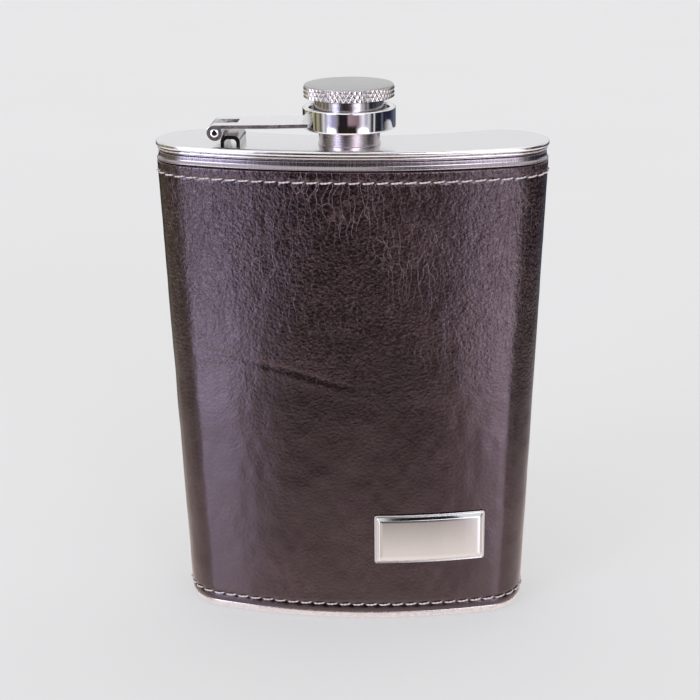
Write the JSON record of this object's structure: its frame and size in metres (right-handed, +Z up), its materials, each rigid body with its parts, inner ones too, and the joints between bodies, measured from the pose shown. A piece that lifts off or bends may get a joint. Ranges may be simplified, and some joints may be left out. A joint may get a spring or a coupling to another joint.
{
  "type": "hip flask",
  "caption": "Curved steel hip flask in a stitched leather wrap, with a knurled screw cap held captive by a collar on a hinged arm.",
  "frame": {"origin": "on the floor, under the middle of the flask's outline", "axes": "+Z up along the flask, -Y out of the bulging front that carries the plaque, +X to the right seen from the front, away from the hinge"},
  "size_m": [0.0958, 0.03, 0.1355],
  "materials": {
    "steel_body": "satin brushed",
    "steel_polished": "polished",
    "knurled_cap": "satin top, diamond knurled rim",
    "leather": "fine grained, semi-gloss",
    "lining_board": "matt",
    "thread": "matt waxed thread",
    "seal": "matt",
    "pad": "matt foam tape",
    "plaque_metal": "polished"
  },
  "bodies": {
    "flask": {"body_sleeve": "steel_body", "shoulder_plate": "steel_body", "shoulder_bead": "steel_polished", "base_plate": "steel_body", "neck_spout": "steel_body", "hinge_bracket": "steel_polished", "hinge_pin": "steel_polished", "wrap_lining": "lining_board", "leather_wrap": "leather", "top_stitching": "thread", "bottom_stitching": "thread", "seam_stitching": "thread", "plaque_pad": "pad", "plaque": "plaque_metal"},
    "arm": {"arm_strap": "steel_polished", "collar": "steel_polished", "collar_ring": "steel_polished"},
    "seal": {"seal_disc": "seal"},
    "cap": {"cap_sleeve": "steel_body", "cap_head": "knurled_cap"}
  },
  "joints": [
    {"name": "arm_swing", "type": "hinge", "parent": "flask", "child": "arm", "pos_m": [-0.0312, -0.00406, 0.1245], "axis": [0, -1, 0], "range_deg": [0, 180]},
    {"name": "cap_lift", "type": "slide", "parent": "arm", "child": "seal", "axis": [0, 0, 1], "range_m": [0, 0.00313]},
    {"name": "cap_turn", "type": "hinge", "parent": "seal", "child": "cap", "pos_m": [0, -0.00406, 0.128], "axis": [0, 0, 1], "range_deg": [0, 900]}
  ],
  "couplings": [
    {"joint": "cap_lift", "follows": "cap_turn", "m_per_rad": 0.00019894}
  ]
}
